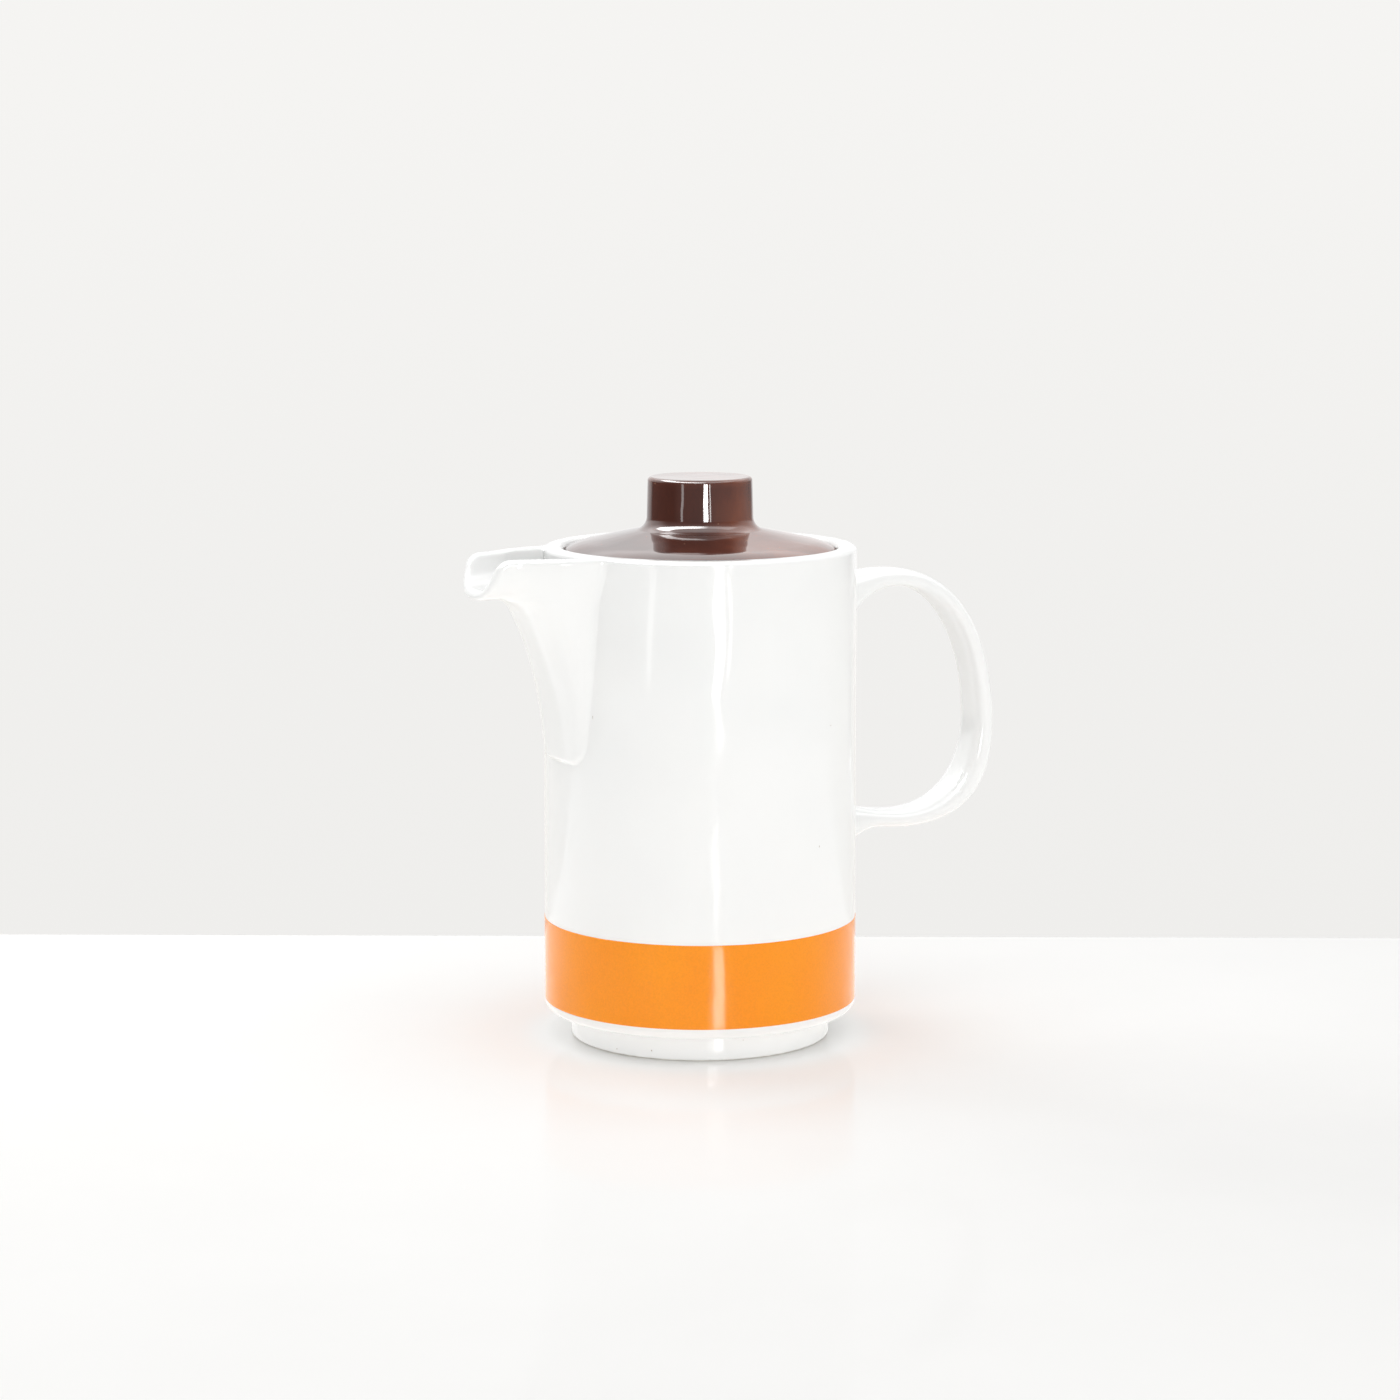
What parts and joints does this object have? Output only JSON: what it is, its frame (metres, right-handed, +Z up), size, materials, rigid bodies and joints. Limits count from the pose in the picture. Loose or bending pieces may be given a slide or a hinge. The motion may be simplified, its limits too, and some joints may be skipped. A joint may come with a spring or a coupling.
{
  "type": "coffee pot",
  "caption": "Cylindrical porcelain coffee pot with an open pouring lip, an ear handle, an enamel band, an inset foot ring and a lift-off lid with a round knob.",
  "frame": {"origin": "centre of the foot ring's underside, on the table and on the pot's axis", "axes": "+Z up along the pot's axis, -X towards the pouring lip, +X towards the handle; the pot is the same on both sides of the XZ plane"},
  "size_m": [0.1983, 0.1052, 0.1891],
  "materials": {
    "white_glaze": "glossy clear glaze over white porcelain",
    "brown_glaze": "glossy dark brown glaze, thinner and redder on edges",
    "orange_enamel": "glossy orange enamel fired over the glaze"
  },
  "bodies": {
    "pot": {"pot_body": "white_glaze", "foot_ring": "white_glaze", "rim_ring": "white_glaze", "colour_band": "orange_enamel", "spout": "white_glaze", "handle": "white_glaze"},
    "lid": {"lid_cap": "brown_glaze", "lid_knob": "brown_glaze", "lid_collar": "white_glaze", "lid_lug": "white_glaze"}
  },
  "joints": [
    {"name": "lid_lift", "type": "slide", "parent": "pot", "child": "lid", "axis": [0, 0, 1], "range_m": [0, 0.06]}
  ]
}
